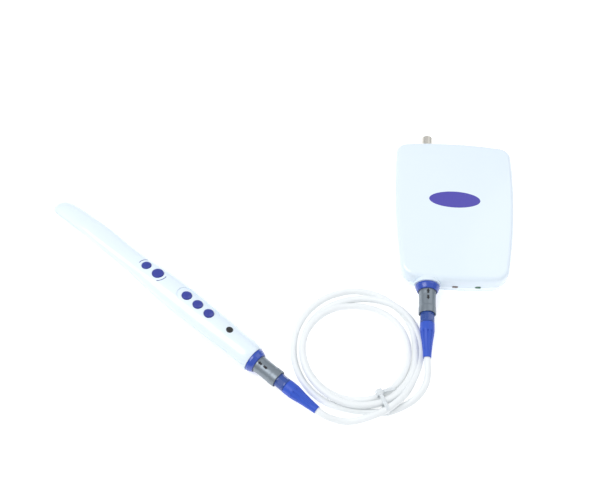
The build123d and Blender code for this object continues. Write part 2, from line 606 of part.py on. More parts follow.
def dock_outline(inset):
    """Face of the box's plan outline at its own origin, moved in by inset."""
    front, rear = inset - DOCK_LENGTH / 2, DOCK_LENGTH / 2 - inset
    fw, rw, ww = DOCK_FRONT_WIDTH / 2 - inset, DOCK_REAR_WIDTH / 2 - inset, DOCK_WIDEST / 2 - inset
    with BuildSketch(mode=Mode.PRIVATE) as plan:
        with BuildLine():
            front_y, rear_y = front + DOCK_FRONT_CROWN, rear - DOCK_REAR_CROWN
            ThreePointArc((-fw, front_y), (0, front), (fw, front_y))
            ThreePointArc((fw, front_y), (ww, DOCK_WIDEST_AT), (rw, rear_y))
            ThreePointArc((rw, rear_y), (0, rear), (-rw, rear_y))
            ThreePointArc((-rw, rear_y), (-ww, DOCK_WIDEST_AT), (-fw, front_y))
        make_face()
        fillet(plan.vertices().group_by(Axis.Y)[0], DOCK_FRONT_CORNER - inset)
        fillet(plan.vertices().group_by(Axis.Y)[-1], DOCK_REAR_CORNER - inset)
    return plan.sketch


def dock_plane(z):
    """Horizontal plane over the middle of the box at height z."""
    return Plane(origin=(DOCK_X, DOCK_Y, z), x_dir=(1, 0, 0), z_dir=(0, 0, 1))


def crown_ball(top):
    """Large ball whose highest point lies at height top over the box's middle."""
    with BuildPart() as ball:
        with Locations((DOCK_X, DOCK_Y, top - TOP_CROWN_RADIUS)):
            Sphere(TOP_CROWN_RADIUS)
    return ball.part


def box_block(inset, start, end, angle):
    """Block of the box's plan from one height to another, with drafted walls."""
    with BuildPart() as block:
        with BuildSketch(dock_plane(start)):
            add(dock_outline(inset))
        extrude(amount=end - start)
        walls = [f for f in block.faces() if abs(f.normal_at().Z) < 0.5]
        draft(walls, dock_plane(start), angle if end > start else -angle)
    return block.part


JACK_Z = DOCK_SEAM
JACK_HEIGHT = 2 * (JACK_Z - DOCK_BOARD_TOP)
REAR_WALL = DOCK_REAR - DOCK_WALL


def port_cutter():
    """What the connectors and lamps take out of both covers, all centred on the seam."""
    lamp_front = DOCK_FRONT - 2
    with BuildPart() as cutter:
        with BuildSketch(across(PORT, 4)):
            Circle(SOCKET_D / 2)
        extrude(amount=-SOCKET_DEPTH - 8)
        for x in (STATUS_LED_X, POWER_LED_X):
            with BuildSketch(Plane(origin=(DOCK_X + x, lamp_front, DOCK_SEAM), x_dir=(1, 0, 0), z_dir=(0, -1, 0))):
                SlotOverall(LED_PIPE_WIDTH, LED_PIPE_HEIGHT)
            extrude(amount=-LED_PIPE_LENGTH)
        rear_plane = Plane(origin=(DOCK_X, DOCK_REAR + 2, JACK_Z), x_dir=(-1, 0, 0), z_dir=(0, 1, 0))
        with BuildSketch(rear_plane):
            with Locations((-RCA_X, 0)):
                Circle(RCA_FLANGE_D / 2 - 1 + JACK_CLEARANCE)
            with Locations((-DC_X, 0)):
                Rectangle(DC_BODY_WIDTH + 2 * JACK_CLEARANCE, JACK_HEIGHT + 2 * JACK_CLEARANCE)
            with Locations((-USB_X, 0)):
                Rectangle(USB_WIDTH + 2 * JACK_CLEARANCE, JACK_HEIGHT + 2 * JACK_CLEARANCE)
        extrude(amount=-3 * DOCK_WALL - 2)
    return cutter.part


ports = port_cutter()
BOSS_PLACES = [(sx * BOSS_SPACING_X / 2, sy * BOSS_SPACING_Y / 2) for sx in (-1, 1) for sy in (-1, 1)]
FOOT_PLACES = [(sx * FOOT_SPACING_X / 2, sy * FOOT_SPACING_Y / 2) for sx in (-1, 1) for sy in (-1, 1)]
BADGE_SEAT = DOCK_HEIGHT - (BADGE_X ** 2 + BADGE_Y ** 2 + BADGE_LENGTH ** 2 / 4) / (2 * TOP_CROWN_RADIUS) - BADGE_SUNK

with BuildPart() as dock_top_cover:
    add(box_block(0, DOCK_SEAM + COVER_GAP / 2, DOCK_HEIGHT + 3, TOP_DRAFT))
    add(crown_ball(DOCK_HEIGHT), mode=Mode.INTERSECT)
    rim = dock_top_cover.faces().sort_by(Axis.Z)[-1].edges()
    fillet(rim, TOP_EDGE_RADIUS)
    chamfer(dock_top_cover.faces().sort_by(Axis.Z)[0].edges(), COVER_EDGE)
    with BuildSketch(across(PORT, 0)):
        Circle(BLISTER_D / 2)
    with BuildSketch(across(PORT, -BLISTER_LENGTH)):
        Circle(BLISTER_END_D / 2)
    loft()
    with BuildPart(mode=Mode.PRIVATE) as lower_half:
        with BuildSketch(dock_plane(DOCK_SEAM + COVER_GAP / 2)):
            Rectangle(2 * DOCK_WIDEST, 2 * DOCK_LENGTH)
        extrude(amount=-DOCK_HEIGHT)
    add(lower_half.part, mode=Mode.SUBTRACT)
    with BuildPart(mode=Mode.PRIVATE) as room:
        add(box_block(DOCK_WALL, DOCK_SEAM - 1, DOCK_HEIGHT + 3, TOP_DRAFT))
        add(crown_ball(DOCK_HEIGHT - DOCK_WALL), mode=Mode.INTERSECT)
    add(room.part, mode=Mode.SUBTRACT)
    add(ports, mode=Mode.SUBTRACT)
    with BuildSketch(dock_plane(BADGE_SEAT)):
        with Locations((BADGE_X, BADGE_Y)):
            Ellipse(BADGE_LENGTH / 2, BADGE_WIDTH / 2)
    extrude(amount=DOCK_WALL, mode=Mode.SUBTRACT)
dock_top_cover.part.label = "dock_top_cover"
export_step(dock_top_cover.part, "parts/dock_top_cover.step")

BOSS_TOP = DOCK_BOARD_TOP - DOCK_BOARD_THICK
with BuildPart() as dock_bottom_cover:
    add(box_block(0, DOCK_SEAM - COVER_GAP / 2, DOCK_FLOOR, BOTTOM_DRAFT))
    fillet(dock_bottom_cover.faces().sort_by(Axis.Z)[0].edges(), BOTTOM_EDGE_RADIUS)
    chamfer(dock_bottom_cover.faces().sort_by(Axis.Z)[-1].edges(), COVER_EDGE)
    with BuildSketch(across(PORT, 0)):
        Circle(BLISTER_D / 2 - 0.8)
    extrude(amount=-2 * DOCK_WALL)
    with BuildPart(mode=Mode.PRIVATE) as upper_half:
        with BuildSketch(dock_plane(DOCK_SEAM - COVER_GAP / 2)):
            Rectangle(2 * DOCK_WIDEST, 2 * DOCK_LENGTH)
        extrude(amount=DOCK_HEIGHT)
        with BuildSketch(dock_plane(DOCK_FLOOR)):
            Rectangle(2 * DOCK_WIDEST, 2 * DOCK_LENGTH)
        extrude(amount=-DOCK_HEIGHT)
    add(upper_half.part, mode=Mode.SUBTRACT)
    add(box_block(DOCK_WALL, DOCK_SEAM, DOCK_FLOOR + DOCK_WALL, BOTTOM_DRAFT), mode=Mode.SUBTRACT)
    with BuildSketch(dock_plane(DOCK_FLOOR + DOCK_WALL)):
        with Locations(*BOSS_PLACES):
            Circle(BOSS_D / 2)
    extrude(amount=BOSS_TOP - DOCK_FLOOR - DOCK_WALL)
    add(ports, mode=Mode.SUBTRACT)
    with BuildSketch(dock_plane(DOCK_FLOOR)):
        with Locations(*BOSS_PLACES):
            Circle(SCREW_HEAD_D / 2 + 0.2)
    extrude(amount=SCREW_HEAD_HEIGHT + 0.2, mode=Mode.SUBTRACT)
    with BuildSketch(dock_plane(DOCK_FLOOR)):
        with Locations(*BOSS_PLACES):
            Circle(SCREW_D / 2)
    extrude(amount=DOCK_BOARD_TOP, mode=Mode.SUBTRACT)
    with BuildSketch(dock_plane(DOCK_FLOOR)):
        with Locations(*FOOT_PLACES):
            Circle(FOOT_D / 2)
    extrude(amount=FOOT_SUNK, mode=Mode.SUBTRACT)
dock_bottom_cover.part.label = "dock_bottom_cover"
export_step(dock_bottom_cover.part, "parts/dock_bottom_cover.step")

with BuildPart() as dock_badge:
    with BuildSketch(dock_plane(BADGE_SEAT)):
        with Locations((BADGE_X, BADGE_Y)):
            Ellipse(BADGE_LENGTH / 2, BADGE_WIDTH / 2)
    extrude(amount=BADGE_THICK)
    fillet(dock_badge.faces().sort_by(Axis.Z)[-1].edges(), 0.5)
dock_badge.part.label = "dock_badge"
export_step(dock_badge.part, "parts/dock_badge.step")

with BuildPart() as rubber_feet:
    with BuildSketch(dock_plane(0)):
        with Locations(*FOOT_PLACES):
            Circle(FOOT_D / 2)
    extrude(amount=DOCK_FLOOR + FOOT_SUNK)
rubber_feet.part.label = "rubber_feet"
export_step(rubber_feet.part, "parts/rubber_feet.step")

with BuildPart() as cover_screws:
    with BuildSketch(dock_plane(DOCK_FLOOR + 0.2)):
        with Locations(*BOSS_PLACES):
            Circle(SCREW_HEAD_D / 2)
    extrude(amount=SCREW_HEAD_HEIGHT)
    with BuildSketch(dock_plane(DOCK_FLOOR + 0.2)):
        with Locations(*BOSS_PLACES):
            Circle(SCREW_D / 2)
    extrude(amount=DOCK_BOARD_TOP - DOCK_FLOOR)
cover_screws.part.label = "cover_screws"
export_step(cover_screws.part, "parts/cover_screws.step")


# Docking box electronics

BOARD_Y = (REAR_WALL - DOCK_BOARD_LENGTH / 2 - 3) - DOCK_Y
with BuildPart() as dock_main_board:
    with BuildSketch(dock_plane(BOSS_TOP)):
        with Locations((0, BOARD_Y)):
            RectangleRounded(DOCK_BOARD_WIDTH, DOCK_BOARD_LENGTH, 3)
        with Locations((PORT_X, BOARD_Y - DOCK_BOARD_LENGTH / 2)):
            Rectangle(DOCK_BOARD_NOTCH_WIDTH, 2 * DOCK_BOARD_NOTCH_DEPTH, mode=Mode.SUBTRACT)
        with Locations(*BOSS_PLACES):
            Circle(SCREW_D / 2, mode=Mode.SUBTRACT)
    extrude(amount=DOCK_BOARD_THICK)
dock_main_board.part.label = "dock_main_board"
export_step(dock_main_board.part, "parts/dock_main_board.step")

with BuildPart() as video_processor:
    with BuildSketch(dock_plane(DOCK_BOARD_TOP)):
        with Locations((6, 4)):
            Rectangle(PROCESSOR_SIZE, PROCESSOR_SIZE)
    extrude(amount=PROCESSOR_THICK)
video_processor.part.label = "video_processor"
export_step(video_processor.part, "parts/video_processor.step")

with BuildPart() as capacitors:
    with BuildSketch(dock_plane(DOCK_BOARD_TOP)):
        with Locations((DC_X, 22)):
            with GridLocations(CAPACITOR_PITCH, CAPACITOR_PITCH, 2, 2):
                Circle(CAPACITOR_D / 2)
    extrude(amount=CAPACITOR_HEIGHT)
capacitors.part.label = "capacitors"
export_step(capacitors.part, "parts/capacitors.step")


def make_lamp(name, x):
    """Light pipe through the seam at the front, with a leg down to the board."""
    crown = DOCK_FRONT_CROWN * (2 * x / DOCK_FRONT_WIDTH) ** 2
    face = DOCK_FRONT + crown - LED_PIPE_STAND
    board_front = DOCK_Y + BOARD_Y - DOCK_BOARD_LENGTH / 2
    with BuildPart() as lamp:
        with BuildSketch(Plane(origin=(DOCK_X + x, face, DOCK_SEAM), x_dir=(1, 0, 0), z_dir=(0, -1, 0))):
            SlotOverall(LED_PIPE_WIDTH, LED_PIPE_HEIGHT)
        extrude(amount=-(board_front + 3 - face))
        fillet(lamp.faces().sort_by(Axis.Y)[0].edges(), 0.4)
        with BuildSketch(Plane(origin=(DOCK_X + x, board_front + 2, DOCK_BOARD_TOP))):
            Rectangle(LED_PIPE_WIDTH / 2, 2)
        extrude(amount=DOCK_SEAM - DOCK_BOARD_TOP)
    lamp.part.label = name
    export_step(lamp.part, f"parts/{name}.step")


make_lamp("status_led", STATUS_LED_X)
make_lamp("power_led", POWER_LED_X)

REAR_JACK = Plane(origin=(DOCK_X, DOCK_REAR, JACK_Z), x_dir=(0, 1, 0), z_dir=(0, 0, 1))

with BuildPart() as rca_jack:
    with BuildSketch(across(REAR_JACK, 0.6)):
        with Locations((-RCA_X, 0)):
            Circle(RCA_FLANGE_D / 2 - 1)
    extrude(amount=-DOCK_WALL - 3.0)
    with BuildSketch(across(REAR_JACK, 0.6)):
        with Locations((-RCA_X, 0)):
            Circle(RCA_D / 2)
    extrude(amount=RCA_LENGTH)
    with BuildSketch(across(REAR_JACK, 0.6 + RCA_LENGTH)):
        with Locations((-RCA_X, 0)):
            Circle(RCA_D / 2 - 0.5)
            Circle(2.2, mode=Mode.SUBTRACT)
    extrude(amount=-RCA_LENGTH, mode=Mode.SUBTRACT)
    with BuildSketch(across(REAR_JACK, 0.6 + RCA_LENGTH)):
        with Locations((-RCA_X, 0)):
            Circle(1.6)
    extrude(amount=-RCA_LENGTH + 1, mode=Mode.SUBTRACT)
    with BuildSketch(dock_plane(DOCK_BOARD_TOP)):
        with Locations((RCA_X, REAR_WALL - 5.2 - DOCK_Y)):
            Rectangle(RCA_FLANGE_D - 2, 7)
    extrude(amount=JACK_Z + RCA_D / 2 - DOCK_BOARD_TOP)
rca_jack.part.label = "rca_jack"
export_step(rca_jack.part, "parts/rca_jack.step")

with BuildPart() as dc_jack:
    with BuildSketch(across(REAR_JACK, 0.3)):
        with Locations((-DC_X, 0)):
            Rectangle(DC_BODY_WIDTH, JACK_HEIGHT)
    extrude(amount=-13)
    with BuildSketch(across(REAR_JACK, 0.3)):
        with Locations((-DC_X, 0)):
            Circle(DC_MOUTH_D / 2)
            Circle(DC_PIN_D / 2, mode=Mode.SUBTRACT)
    extrude(amount=-9.5, mode=Mode.SUBTRACT)
dc_jack.part.label = "dc_jack"
export_step(dc_jack.part, "parts/dc_jack.step")

with BuildPart() as usb_socket:
    with BuildSketch(across(REAR_JACK, 0.3, 0, 0)):
        with Locations((-USB_X, 0)):
            Rectangle(USB_WIDTH, JACK_HEIGHT)
    extrude(amount=-USB_DEPTH)
    with BuildSketch(across(REAR_JACK, 0.3)):
        with Locations((-USB_X, 0)):
            Rectangle(USB_WIDTH - 3.6, JACK_HEIGHT - 2.6)
            Rectangle(USB_WIDTH - 6.4, 3.4, mode=Mode.SUBTRACT)
    extrude(amount=-9, mode=Mode.SUBTRACT)
usb_socket.part.label = "usb_socket"
export_step(usb_socket.part, "parts/usb_socket.step")


# Coil, leads and tie

TIE_DIR = Vector(math.cos(math.radians(TIE_ANGLE)), math.sin(math.radians(TIE_ANGLE)), 0)
TIE_SIDE = Vector(-TIE_DIR.Y, TIE_DIR.X, 0)
TIE_PLANE = Plane(origin=(COIL_X, COIL_Y, 0), x_dir=TIE_DIR, z_dir=-TIE_SIDE)


def reach_of(cx, cy, radius):
    """Distance from the coil's centre along the tie to a circle's far side."""
    gap = Vector(cx - COIL_X, cy - COIL_Y, 0)
    return gap.dot(TIE_DIR) + math.sqrt(radius ** 2 - gap.dot(TIE_SIDE) ** 2)


TIE_OUT = reach_of(COIL_BULGE_X, COIL_BULGE_Y, COIL_BULGE_RADIUS)
TIE_IN = reach_of(COIL_HOLE_X, COIL_HOLE_Y, COIL_HOLE_RADIUS)
TIE_MIDDLE = ((TIE_IN + TIE_OUT) / 2, COIL_BOTTOM + COIL_HEIGHT / 2)
SUNK = TIE_THICK - TIE_PROUD
HEAD_LOW = COIL_BOTTOM + COIL_HEIGHT - TIE_HEAD_HEIGHT / 3
HEAD_PLACE = (TIE_IN + 0.4, HEAD_LOW + TIE_HEAD_HEIGHT / 2)


def tie_section(grow):
    """Rounded oblong of the strands' section at the tie, grown by an amount."""
    with BuildSketch(mode=Mode.PRIVATE) as section:
        with Locations(TIE_MIDDLE):
            RectangleRounded(TIE_OUT - TIE_IN + 2 * grow, COIL_HEIGHT + 2 * grow, COIL_EDGE + grow)
    return section.sketch


with BuildPart() as tie_head:
    with BuildSketch(TIE_PLANE):
        with Locations(HEAD_PLACE):
            RectangleRounded(TIE_HEAD - 0.4, TIE_HEAD_HEIGHT, 0.6)
    extrude(amount=TIE_HEAD / 2, both=True)

with BuildPart() as cable_tie:
    with BuildSketch(TIE_PLANE):
        add(tie_section(TIE_PROUD))
        add(tie_section(-SUNK), mode=Mode.SUBTRACT)
    extrude(amount=TIE_WIDTH / 2, both=True)
    add(tie_head.part)
    root = TIE_PLANE.from_local_coords(Vector(HEAD_PLACE[0], HEAD_LOW + 0.7 * TIE_HEAD_HEIGHT, 0))
    heading = Vector(0.97, 0.2, 0.15)
    with BuildSketch(Plane(origin=root, x_dir=TIE_DIR, z_dir=heading)):
        Rectangle(TIE_WIDTH, 0.9)
    extrude(amount=TIE_HEAD / 2 + TIE_TAIL)
cable_tie.part.label = "cable_tie"
export_step(cable_tie.part, "parts/cable_tie.step")

with BuildPart() as cable_coil:
    with BuildSketch(Plane.XY.offset(COIL_BOTTOM)):
        with BuildLine():
            CenterArc((COIL_X, COIL_Y), COIL_RADIUS, 0, 360)
            CenterArc((COIL_BULGE_X, COIL_BULGE_Y), COIL_BULGE_RADIUS, 0, 360)
        make_hull()
        with Locations((COIL_HOLE_X, COIL_HOLE_Y)):
            Circle(COIL_HOLE_RADIUS, mode=Mode.SUBTRACT)
    extrude(amount=COIL_HEIGHT)
    fillet(cable_coil.faces().filter_by(Axis.Z).edges(), COIL_EDGE)
    with BuildSketch(TIE_PLANE):
        add(tie_section(2.0))
        add(tie_section(-SUNK), mode=Mode.SUBTRACT)
    extrude(amount=TIE_WIDTH / 2, both=True, mode=Mode.SUBTRACT)
    add(tie_head.part, mode=Mode.SUBTRACT)
cable_coil.part.label = "cable_coil"
export_step(cable_coil.part, "parts/cable_coil.step")


def make_lead(name, route):
    """Round cable along straight runs joined by tangent arcs as wide as the runs allow."""
    points = [Vector(*p) for p in route]
    runs = [b - a for a, b in zip(points, points[1:])]
    radii = []
    for a, b in zip(runs, runs[1:]):
        half = math.radians(a.get_angle(b)) / 2
        radii.append(0.45 * min(a.length, b.length) / math.tan(half))
    with BuildPart() as lead:
        with BuildLine() as path:
            FilletPolyline(*points, radius=radii)
        with BuildSketch(Plane(origin=points[0], z_dir=runs[0])):
            Circle(CABLE_D / 2)
        sweep(path=path.line)
    length = sum(edge.length for edge in path.edges())
    expected = length * math.pi * CABLE_D ** 2 / 4
    print(name, "arc radii", [round(r, 1) for r in radii], "runs", [round(r.length, 1) for r in runs],
          "volume ratio", round(lead.part.volume / expected, 4))
    lead.part.label = name
    export_step(lead.part, f"parts/{name}.step")


LEAD_START = NUT_END + BOOT_LENGTH - CABLE_SOCKET_DEPTH
hand_start = point(HAND, LEAD_START)
hand_next = point(HAND, LEAD_START + 11.0)
dock_start = point(PORT, LEAD_START)
make_lead("cable_lead_handpiece", [
    tuple(hand_start), tuple(hand_next), (54.3, -140.0, 6.7), (67.1, -137.2, 4.3), (77.0, -129.9, 3.0),
])
make_lead("cable_lead_dock", [
    tuple(dock_start), (dock_start.X, dock_start.Y - 10.0, dock_start.Z), (108.0, -105.8, 8.2),
    (102.3, -115.2, 5.4), (93.8, -122.2, 3.5), (85.0, -125.7, 3.0),
])
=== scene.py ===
"""Looks of an intraoral camera: handpiece, coiled lead and docking box.

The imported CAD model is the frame. Rigid pieces keep their CAD shape and get procedural
materials here. The lead, its tie and the printed marks are built here, in metres.
"""

from __future__ import annotations

import json
import logging
import math
from dataclasses import dataclass
from enum import Enum
from typing import Iterable, Sequence

import bpy
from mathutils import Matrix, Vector
from mathutils.bvhtree import BVHTree

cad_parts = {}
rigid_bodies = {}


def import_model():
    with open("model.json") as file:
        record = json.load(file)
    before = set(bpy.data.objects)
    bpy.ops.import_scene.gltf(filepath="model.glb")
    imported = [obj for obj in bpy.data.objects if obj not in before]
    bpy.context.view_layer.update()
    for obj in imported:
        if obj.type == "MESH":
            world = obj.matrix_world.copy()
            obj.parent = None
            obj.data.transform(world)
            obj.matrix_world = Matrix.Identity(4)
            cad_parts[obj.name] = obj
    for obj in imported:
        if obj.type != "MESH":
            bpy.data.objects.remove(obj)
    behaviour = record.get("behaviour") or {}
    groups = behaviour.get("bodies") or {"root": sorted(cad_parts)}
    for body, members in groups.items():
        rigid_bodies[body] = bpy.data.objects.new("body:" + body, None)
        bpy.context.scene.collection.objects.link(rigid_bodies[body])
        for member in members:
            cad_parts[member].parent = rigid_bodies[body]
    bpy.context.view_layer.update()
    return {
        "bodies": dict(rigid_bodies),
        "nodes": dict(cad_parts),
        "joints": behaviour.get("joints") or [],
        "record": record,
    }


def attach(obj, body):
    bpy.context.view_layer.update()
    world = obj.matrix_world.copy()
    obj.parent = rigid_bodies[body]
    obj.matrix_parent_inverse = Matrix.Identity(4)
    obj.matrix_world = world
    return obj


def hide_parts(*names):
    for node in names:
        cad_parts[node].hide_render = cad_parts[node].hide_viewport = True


log = logging.getLogger("intraoral_camera")
MM = 0.001
Colour = tuple[float, float, float]
ENDS = ("handpiece", "dock")


class Kind(Enum):
    """Families of surface, which decide how a finish reacts to light."""

    PLASTIC = "plastic"
    METAL = "metal"
    RUBBER = "rubber"
    CLEAR = "clear"


@dataclass(frozen=True)
class Finish:
    """One procedural surface.

    Attributes:
        name: Name of the material.
        colour: Base colour, linear RGB.
        kind: Family of surface.
        roughness: Middle roughness.
        grain: Texture scale in cells per metre.
        bump: Height of the grain, in metres.
        variation: How far the colour strays from the base.
        coat: Weight of a clear glossy layer.
    """

    name: str
    colour: Colour
    kind: Kind = Kind.PLASTIC
    roughness: float = 0.35
    grain: float = 900.0
    bump: float = 0.000015
    variation: float = 0.03
    coat: float = 0.0


CASING = Finish(
    "casing_white", (0.775, 0.865, 0.94), roughness=0.24, grain=1600,
    bump=0.000004, variation=0.015, coat=0.5,
)
BUTTON = Finish("button_indigo", (0.026, 0.040, 0.30), roughness=0.32, grain=1400, bump=0.000006, coat=0.3)
RING = Finish("ring_blue", (0.020, 0.065, 0.42), roughness=0.26, grain=1200, bump=0.000006, coat=0.5)
SLEEVE = Finish(
    "sleeve_grey", (0.215, 0.25, 0.285), Kind.METAL, roughness=0.36, grain=500, bump=0.000006, variation=0.10,
)
NUT = Finish("nut_blue", (0.022, 0.066, 0.30), roughness=0.28, grain=1200, bump=0.000006, coat=0.3)
BOOT = Finish(
    "boot_blue", (0.018, 0.078, 0.52), Kind.RUBBER, roughness=0.42, grain=1400, bump=0.00002, variation=0.06,
)
CABLE = Finish("cable_white", (0.85, 0.875, 0.88), Kind.RUBBER, roughness=0.42, grain=1100, bump=0.000012)
TIE = Finish("tie_nylon", (0.84, 0.88, 0.90), Kind.CLEAR, roughness=0.30, bump=0.00001, variation=0.04)
BADGE = Finish("badge_violet", (0.062, 0.048, 0.40), roughness=0.22, bump=0.000003, coat=0.8)
BLACK = Finish("gloss_black", (0.008, 0.008, 0.009), roughness=0.14, coat=0.6)
INK = Finish("printed_ink", (0.010, 0.010, 0.014), roughness=0.5, grain=3000, bump=0.000004)
INK_BLUE = Finish("printed_blue", (0.035, 0.04, 0.25), roughness=0.5, grain=3000, bump=0.000004)
GREEN_LAMP = Finish("lamp_green", (0.035, 0.13, 0.065), roughness=0.16, coat=0.6)
SMOKE_LAMP = Finish("lamp_smoke", (0.16, 0.12, 0.11), roughness=0.16, coat=0.6)
GLASS = Finish("lens_glass", (0.85, 0.90, 0.93), Kind.CLEAR, roughness=0.04, bump=0.0, variation=0.0)
BOARD = Finish("circuit_board", (0.02, 0.13, 0.06), roughness=0.4, grain=700, variation=0.25, coat=0.3)
CHIP = Finish("chip_black", (0.02, 0.02, 0.022), roughness=0.55, grain=2500, variation=0.1)
PHOSPHOR = Finish("led_phosphor", (0.80, 0.70, 0.25), roughness=0.4)
FLEX = Finish("flex_amber", (0.38, 0.13, 0.02), roughness=0.3, coat=0.4)
STEEL = Finish(
    "stamped_steel", (0.55, 0.56, 0.58), Kind.METAL, roughness=0.3, grain=700, bump=0.000006, variation=0.08,
)
NICKEL = Finish(
    "nickel_plate", (0.62, 0.59, 0.53), Kind.METAL, roughness=0.22, grain=700, bump=0.000004, variation=0.05,
)
BARREL = Finish("anodised_black", (0.02, 0.02, 0.023), Kind.METAL, bump=0.000006, variation=0.05)
FOOT = Finish(
    "foot_rubber", (0.03, 0.03, 0.033), Kind.RUBBER, roughness=0.7, grain=1500, bump=0.00003, variation=0.1,
)

NODES_OF_FINISH: list[tuple[Finish, tuple[str, ...]]] = [
    (CASING, ("handpiece_top_shell", "handpiece_bottom_shell", "dock_top_cover", "dock_bottom_cover")),
    (BUTTON, ("front_button", "capture_button", "menu_button_1", "menu_button_2", "menu_button_3")),
    (BADGE, ("dock_badge",)),
    (BLACK, ("indicator_window", "dc_jack")),
    (SMOKE_LAMP, ("status_led",)),
    (GREEN_LAMP, ("power_led",)),
    (NICKEL, ("rca_jack",)),
    (STEEL, ("tactile_switches", "cover_screws", "capacitors", "usb_socket")),
    (BOARD, ("handpiece_main_board", "dock_main_board", "tip_led_board")),
    (CHIP, ("image_sensor", "video_processor")),
    (GLASS, ("lens_window",)),
    (BARREL, ("lens_barrel",)),
    (PHOSPHOR, ("tip_leds",)),
    (FLEX, ("sensor_flex",)),
    (FOOT, ("rubber_feet",)),
    (CABLE, ("cable_coil", "cable_lead_handpiece", "cable_lead_dock", "cable_tie")),
]
FINISH_OF_PLUG: dict[str, Finish] = {
    "ring": RING, "socket": NICKEL, "plug_body": NICKEL,
    "release_sleeve": SLEEVE, "collet_nut": NUT, "bend_relief": BOOT,
}


class Materials:
    """Builds each finish once, on top of one shared grain group."""

    GROUP = "surface_grain"
    DETAIL = 4.0
    BROAD_SCALE = 60.0
    NOISE_MIDDLE_TWICE = 1.0
    ROUGHNESS_SPREAD = (0.85, 1.15)
    BUMP_STRENGTH = 0.5
    COAT_ROUGHNESS = 0.12
    EXTRAS: dict[Kind, dict[str, float]] = {
        Kind.PLASTIC: {},
        Kind.METAL: {"Metallic": 0.55},
        Kind.RUBBER: {"Sheen Weight": 0.08},
        Kind.CLEAR: {"Transmission Weight": 0.25, "IOR": 1.45},
    }

    def __init__(self) -> None:
        """Starts with no finish built."""
        self._made: dict[str, bpy.types.Material] = {}
        self._group = self._grain_group()

    def _grain_group(self) -> bpy.types.NodeTree:
        """Builds the shared group that varies colour, roughness and height.

        Returns:
            The node group.
        """
        group = bpy.data.node_groups.new(self.GROUP, "ShaderNodeTree")
        face = group.interface
        face.new_socket("Colour", in_out="INPUT", socket_type="NodeSocketColor")
        for name in ("Grain", "Variation", "Roughness", "Bump"):
            face.new_socket(name, in_out="INPUT", socket_type="NodeSocketFloat")
        face.new_socket("Colour", in_out="OUTPUT", socket_type="NodeSocketColor")
        face.new_socket("Roughness", in_out="OUTPUT", socket_type="NodeSocketFloat")
        face.new_socket("Normal", in_out="OUTPUT", socket_type="NodeSocketVector")
        nodes, links = group.nodes, group.links
        source = nodes.new("NodeGroupInput")
        sink = nodes.new("NodeGroupOutput")
        place = nodes.new("ShaderNodeTexCoord")
        fine = nodes.new("ShaderNodeTexNoise")
        fine.inputs["Detail"].default_value = self.DETAIL
        links.new(place.outputs["Object"], fine.inputs["Vector"])
        links.new(source.outputs["Grain"], fine.inputs["Scale"])
        broad = nodes.new("ShaderNodeTexNoise")
        broad.inputs["Scale"].default_value = self.BROAD_SCALE
        links.new(place.outputs["Object"], broad.inputs["Vector"])

        both = self._math(group, "ADD", fine.outputs["Fac"], broad.outputs["Fac"])
        centred = self._math(group, "SUBTRACT", both, self.NOISE_MIDDLE_TWICE)
        amount = self._math(group, "MULTIPLY", centred, source.outputs["Variation"])
        value = self._math(group, "ADD", amount, 1.0)
        hue = nodes.new("ShaderNodeHueSaturation")
        links.new(source.outputs["Colour"], hue.inputs["Color"])
        links.new(value, hue.inputs["Value"])
        links.new(hue.outputs["Color"], sink.inputs["Colour"])

        wider = nodes.new("ShaderNodeMapRange")
        wider.inputs["To Min"].default_value, wider.inputs["To Max"].default_value = self.ROUGHNESS_SPREAD
        links.new(broad.outputs["Fac"], wider.inputs["Value"])
        rough = self._math(group, "MULTIPLY", source.outputs["Roughness"], wider.outputs["Result"])
        links.new(rough, sink.inputs["Roughness"])

        bump = nodes.new("ShaderNodeBump")
        bump.inputs["Strength"].default_value = self.BUMP_STRENGTH
        links.new(source.outputs["Bump"], bump.inputs["Distance"])
        links.new(fine.outputs["Fac"], bump.inputs["Height"])
        links.new(bump.outputs["Normal"], sink.inputs["Normal"])
        return group

    @staticmethod
    def _math(
        tree: bpy.types.NodeTree, operation: str, first: bpy.types.NodeSocket,
        second: bpy.types.NodeSocket | float,
    ) -> bpy.types.NodeSocket:
        """Adds one sum to a node tree.

        Args:
            tree: The tree it goes into.
            operation: What it does with the two values.
            first: Socket with the first value.
            second: Socket with the second value, or the value itself.

        Returns:
            The socket with the result.
        """
        node = tree.nodes.new("ShaderNodeMath")
        node.operation = operation
        tree.links.new(first, node.inputs[0])
        if isinstance(second, float):
            node.inputs[1].default_value = second
        else:
            tree.links.new(second, node.inputs[1])
        return node.outputs[0]

    def get(self, finish: Finish) -> bpy.types.Material:
        """Gives the material of a finish, building it on first use.

        Args:
            finish: The finish wanted.

        Returns:
            The material.
        """
        if finish.name in self._made:
            return self._made[finish.name]
        material = bpy.data.materials.new(finish.name)
        material.use_nodes = True
        nodes, links = material.node_tree.nodes, material.node_tree.links
        shader = next(n for n in nodes if n.type == "BSDF_PRINCIPLED")
        grain = nodes.new("ShaderNodeGroup")
        grain.node_tree = self._group
        grain.inputs["Colour"].default_value = (*finish.colour, 1.0)
        grain.inputs["Grain"].default_value = finish.grain
        grain.inputs["Variation"].default_value = finish.variation
        grain.inputs["Roughness"].default_value = finish.roughness
        grain.inputs["Bump"].default_value = finish.bump
        links.new(grain.outputs["Colour"], shader.inputs["Base Color"])
        links.new(grain.outputs["Roughness"], shader.inputs["Roughness"])
        links.new(grain.outputs["Normal"], shader.inputs["Normal"])
        shader.inputs["Coat Weight"].default_value = finish.coat
        shader.inputs["Coat Roughness"].default_value = self.COAT_ROUGHNESS
        for socket, amount in self.EXTRAS[finish.kind].items():
            shader.inputs[socket].default_value = amount
        self._made[finish.name] = material
        return material


